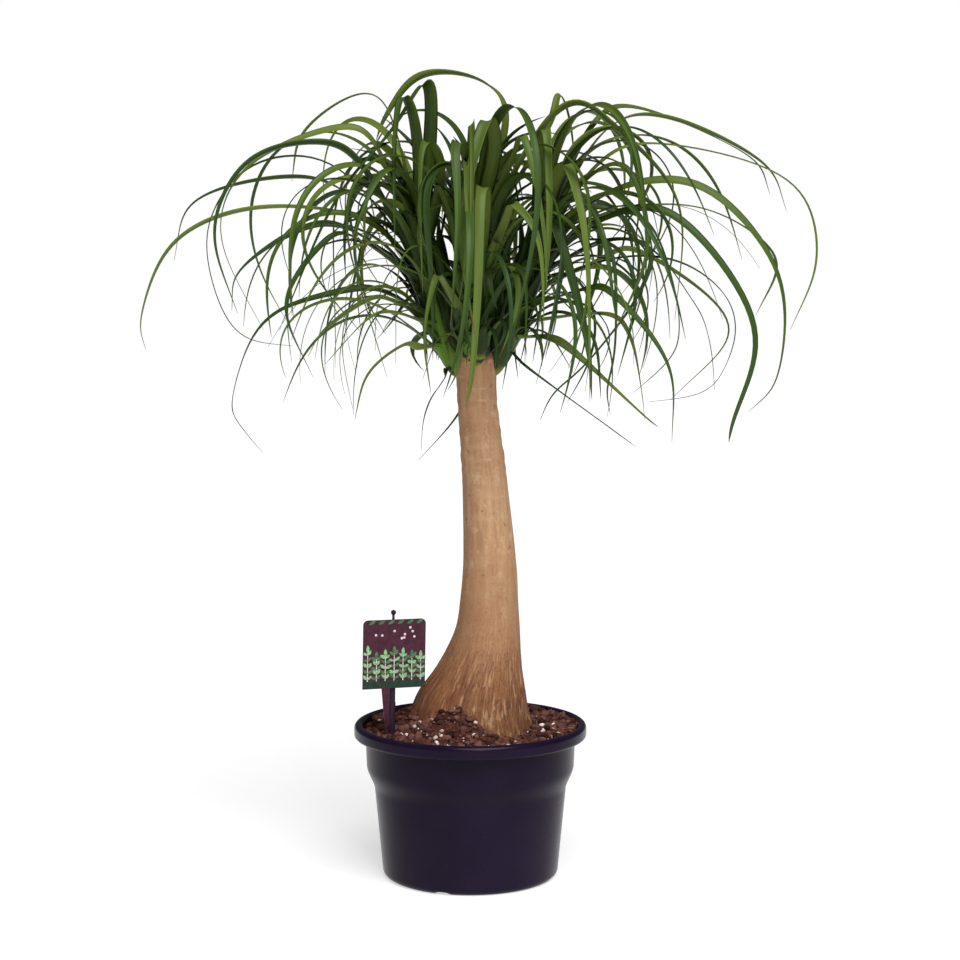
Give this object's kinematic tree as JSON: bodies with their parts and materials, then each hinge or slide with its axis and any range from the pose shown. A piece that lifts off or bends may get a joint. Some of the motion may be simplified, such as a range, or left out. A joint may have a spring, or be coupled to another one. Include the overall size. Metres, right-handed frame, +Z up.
{
  "type": "potted ponytail palm",
  "caption": "Potted ponytail palm: swollen tapering trunk with heads of long arching strap leaves, in a round growers' pot with a plant label.",
  "frame": {"origin": "centre of the pot's flat underside, on the surface that it stands on", "axes": "+Z up along the pot's axis, -Y towards the viewer's side with the label, +X to the viewer's right"},
  "size_m": [0.6894, 0.4515, 0.8302],
  "materials": {
    "pot_plastic": "satin, faintly scuffed",
    "potting_mix": "loose fibrous mix with white grains",
    "bark": "smooth tan above, furrowed and rough below",
    "leaf": "satin leaf",
    "stake_plastic": "satin",
    "label_card": "printed, semi-gloss"
  },
  "bodies": {
    "root": {"pot": "pot_plastic", "potting_mix": "potting_mix", "trunk": "bark", "head_left": "leaf", "head_front": "leaf", "head_right": "leaf", "head_back": "leaf", "label_stake": "stake_plastic", "label_card": "label_card"}
  },
  "joints": []
}
